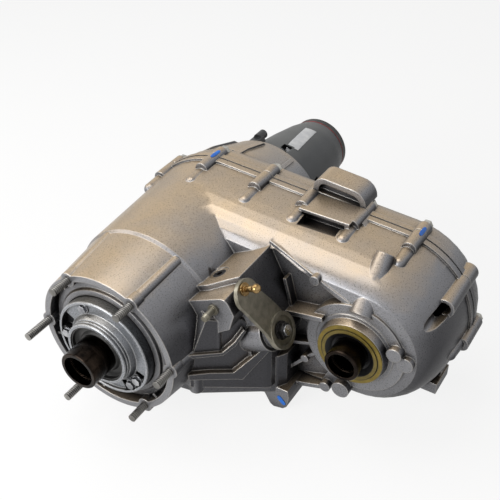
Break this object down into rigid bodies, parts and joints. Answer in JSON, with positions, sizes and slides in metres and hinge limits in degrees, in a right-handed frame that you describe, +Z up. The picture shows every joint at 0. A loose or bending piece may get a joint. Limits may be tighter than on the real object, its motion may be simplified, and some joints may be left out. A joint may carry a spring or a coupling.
{
  "type": "transfer case",
  "caption": "Part-time chain-drive transfer case: split cast housing, splined input, front output, tail for a slip yoke, planetary low range and a hand shift lever.",
  "frame": {"origin": "centre of the input stud circle, on the machined face of the input flange", "axes": "+X from the main shaft towards the front output shaft, +Y rearwards along the shafts to the tail, +Z up"},
  "size_m": [0.4744, 0.576, 0.2588],
  "materials": {
    "cast_aluminium": "shot-blasted die casting",
    "dark_casting": "dark grey coated casting",
    "steel": "machined steel",
    "polished_steel": "polished steel balls",
    "dark_steel": "dark phosphated steel, oily",
    "chain_steel": "blued chain steel",
    "zinc_plate": "satin zinc plating",
    "zinc_bolt": "zinc-plated fastener",
    "black_nut": "black oxide",
    "yellow_plating": "yellow chromate plating",
    "gold_plating": "gold chromate plating",
    "bronze": "bearing bronze",
    "black_rubber": "oil seal rubber",
    "red_rubber": "red sealing ring",
    "sealant": "cured black sealant",
    "black_plastic": "moulded nylon"
  },
  "bodies": {
    "case": {"front_case": "cast_aluminium", "rear_case": "cast_aluminium", "tail_housing": "dark_casting", "case_sealant": "sealant", "bearing_retainer": "cast_aluminium", "retainer_bolts": "steel", "input_seal": "black_rubber", "input_bearing_outer": "steel", "ring_gear": "steel", "ring_gear_snap_ring": "steel", "drive_chain": "chain_steel", "front_bearing_outer": "steel", "front_output_seal": "yellow_plating", "rear_needle_bearing": "steel", "main_bearing_outer": "steel", "oil_pump": "cast_aluminium", "pickup_tube": "steel", "pickup_filter": "black_plastic", "shift_rail": "steel", "detent_spring": "steel", "detent_plug": "black_nut", "vent": "zinc_plate", "speed_sensor": "black_plastic", "chip_magnet": "black_nut", "case_bolts": "zinc_bolt", "mount_studs": "zinc_bolt", "oil_plugs": "steel", "tail_bolts": "steel", "tail_bushing": "bronze", "tail_seal": "black_rubber", "tail_ring": "red_rubber"},
    "input": {"input_gear": "dark_steel", "input_bearing_inner": "steel"},
    "input_cage": {"input_bearing_balls": "polished_steel"},
    "carrier": {"planet_carrier": "steel", "planet_pins": "steel"},
    "planet_1": {"planet_gear_1": "steel"},
    "planet_2": {"planet_gear_2": "steel"},
    "planet_3": {"planet_gear_3": "steel"},
    "planet_4": {"planet_gear_4": "steel"},
    "main": {"mainshaft": "steel", "mode_hub": "steel", "main_bearing_inner": "steel", "tone_ring": "steel"},
    "main_cage": {"main_bearing_balls": "polished_steel"},
    "sprocket": {"drive_sprocket": "steel"},
    "range": {"range_collar": "steel"},
    "mode": {"mode_sleeve": "steel"},
    "front": {"front_output_shaft": "dark_steel", "driven_sprocket": "steel", "front_bearing_inner": "steel", "dust_shield": "yellow_plating"},
    "front_cage": {"front_bearing_balls": "polished_steel"},
    "lever": {"shift_lever": "zinc_plate", "lever_nut": "black_nut", "ball_stud": "gold_plating", "sector_shaft": "steel"},
    "range_fork": {"range_fork": "cast_aluminium"},
    "mode_fork": {"mode_fork": "cast_aluminium"},
    "detent": {"detent_plunger": "steel"}
  },
  "joints": [
    {"name": "input_spin", "type": "hinge", "parent": "case", "child": "input", "pos_m": [0, 0.02, 0], "axis": [0, 1, 0], "continuous": true, "deforming": ["drive_chain"]},
    {"name": "input_cage_spin", "type": "hinge", "parent": "case", "child": "input_cage", "pos_m": [0, 0.024, 0], "axis": [0, 1, 0], "continuous": true},
    {"name": "carrier_spin", "type": "hinge", "parent": "case", "child": "carrier", "pos_m": [0, 0.06, 0], "axis": [0, 1, 0], "continuous": true},
    {"name": "planet_1_spin", "type": "hinge", "parent": "carrier", "child": "planet_1", "pos_m": [0.06, 0.057, 0], "axis": [0, 1, 0], "continuous": true},
    {"name": "planet_2_spin", "type": "hinge", "parent": "carrier", "child": "planet_2", "pos_m": [0, 0.057, 0.06], "axis": [0, 1, 0], "continuous": true},
    {"name": "planet_3_spin", "type": "hinge", "parent": "carrier", "child": "planet_3", "pos_m": [-0.06, 0.057, 0], "axis": [0, 1, 0], "continuous": true},
    {"name": "planet_4_spin", "type": "hinge", "parent": "carrier", "child": "planet_4", "pos_m": [0, 0.057, -0.06], "axis": [0, 1, 0], "continuous": true},
    {"name": "mainshaft_spin", "type": "hinge", "parent": "case", "child": "main", "pos_m": [0, 0.3, 0], "axis": [0, 1, 0], "continuous": true},
    {"name": "main_cage_spin", "type": "hinge", "parent": "case", "child": "main_cage", "pos_m": [0, 0.336, 0], "axis": [0, 1, 0], "continuous": true},
    {"name": "sprocket_spin", "type": "hinge", "parent": "case", "child": "sprocket", "pos_m": [0, 0.225, 0], "axis": [0, 1, 0], "continuous": true},
    {"name": "front_output_spin", "type": "hinge", "parent": "case", "child": "front", "pos_m": [0.245, 0.2, 0], "axis": [0, 1, 0], "continuous": true},
    {"name": "front_cage_spin", "type": "hinge", "parent": "case", "child": "front_cage", "pos_m": [0.245, 0.1535, 0], "axis": [0, 1, 0], "continuous": true},
    {"name": "lever_turn", "type": "hinge", "parent": "case", "child": "lever", "pos_m": [0.1516, 0.102, 0.01409], "axis": [0.8926, 0, 0.4509], "range_deg": [0, 38]},
    {"name": "range_collar_slide", "type": "slide", "parent": "main", "child": "range", "axis": [0, 1, 0], "range_m": [0, 0.0145]},
    {"name": "range_fork_slide", "type": "slide", "parent": "case", "child": "range_fork", "axis": [0, 1, 0], "range_m": [0, 0.0145]},
    {"name": "mode_sleeve_slide", "type": "slide", "parent": "main", "child": "mode", "axis": [0, -1, 0], "range_m": [0, 0.008]},
    {"name": "mode_fork_slide", "type": "slide", "parent": "case", "child": "mode_fork", "axis": [0, -1, 0], "range_m": [0, 0.008]},
    {"name": "detent_slide", "type": "slide", "parent": "case", "child": "detent", "axis": [-0.4509, 0, 0.8926], "range_m": [0, 0.003], "stiffness_N_per_m": 4000, "springref_m": -0.002, "deforming": ["detent_spring"]}
  ],
  "couplings": [
    {"joint": "input_cage_spin", "follows": "input_spin", "ratio": 0.427},
    {"joint": "carrier_spin", "follows": "input_spin", "ratio": 0.375},
    {"joint": "planet_1_spin", "follows": "input_spin", "ratio": -1.875},
    {"joint": "planet_2_spin", "follows": "input_spin", "ratio": -1.875},
    {"joint": "planet_3_spin", "follows": "input_spin", "ratio": -1.875},
    {"joint": "planet_4_spin", "follows": "input_spin", "ratio": -1.875},
    {"joint": "mainshaft_spin", "follows": "input_spin", "ratio": 1},
    {"joint": "main_cage_spin", "follows": "input_spin", "ratio": 0.41},
    {"joint": "sprocket_spin", "follows": "input_spin", "ratio": 1},
    {"joint": "front_output_spin", "follows": "input_spin", "ratio": 1},
    {"joint": "front_cage_spin", "follows": "input_spin", "ratio": 0.43},
    {"joint": "range_collar_slide", "follows": "lever_turn", "m_per_rad": 0.021862},
    {"joint": "range_fork_slide", "follows": "lever_turn", "m_per_rad": 0.021862},
    {"joint": "mode_sleeve_slide", "follows": "lever_turn", "m_per_rad": 0.012062},
    {"joint": "mode_fork_slide", "follows": "lever_turn", "m_per_rad": 0.012062}
  ]
}
